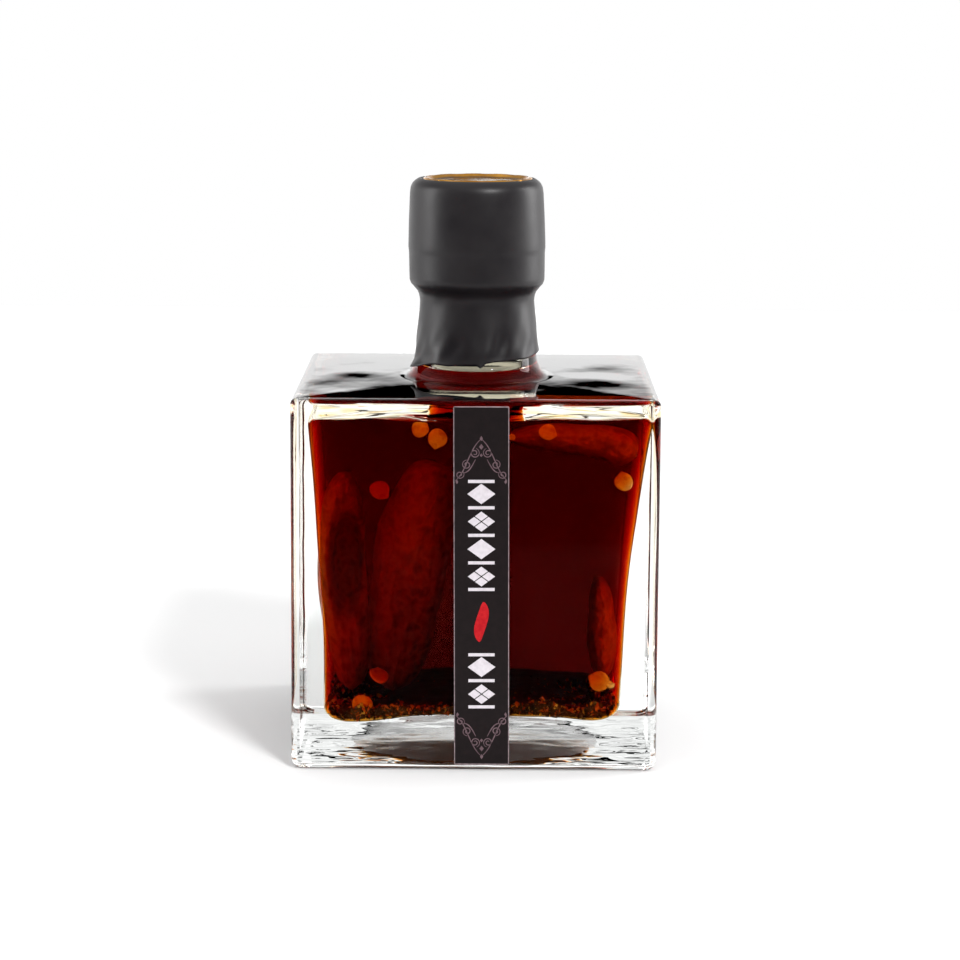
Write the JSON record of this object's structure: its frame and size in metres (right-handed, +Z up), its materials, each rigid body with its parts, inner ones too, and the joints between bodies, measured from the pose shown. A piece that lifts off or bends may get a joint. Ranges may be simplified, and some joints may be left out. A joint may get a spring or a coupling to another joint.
{
  "type": "bottle of chili oil",
  "caption": "Square clear glass bottle filled with dark red chili oil, with a black shrink capsule over its round neck and a narrow upright label strip.",
  "frame": {"origin": "centre of the base, on the plane that the bottle stands on", "axes": "+Z up through the neck, -Y out of the labelled front, +X to the right of it"},
  "size_m": [0.07, 0.0701, 0.1111],
  "materials": {
    "clear_glass": "gloss",
    "dark_oil": "gloss",
    "black_film": "matte",
    "gold_foil": "polished",
    "black_label": "satin"
  },
  "bodies": {
    "root": {"bottle": "clear_glass", "oil": "dark_oil", "capsule": "black_film", "seal_disc": "gold_foil", "label_strip": "black_label"}
  },
  "joints": []
}
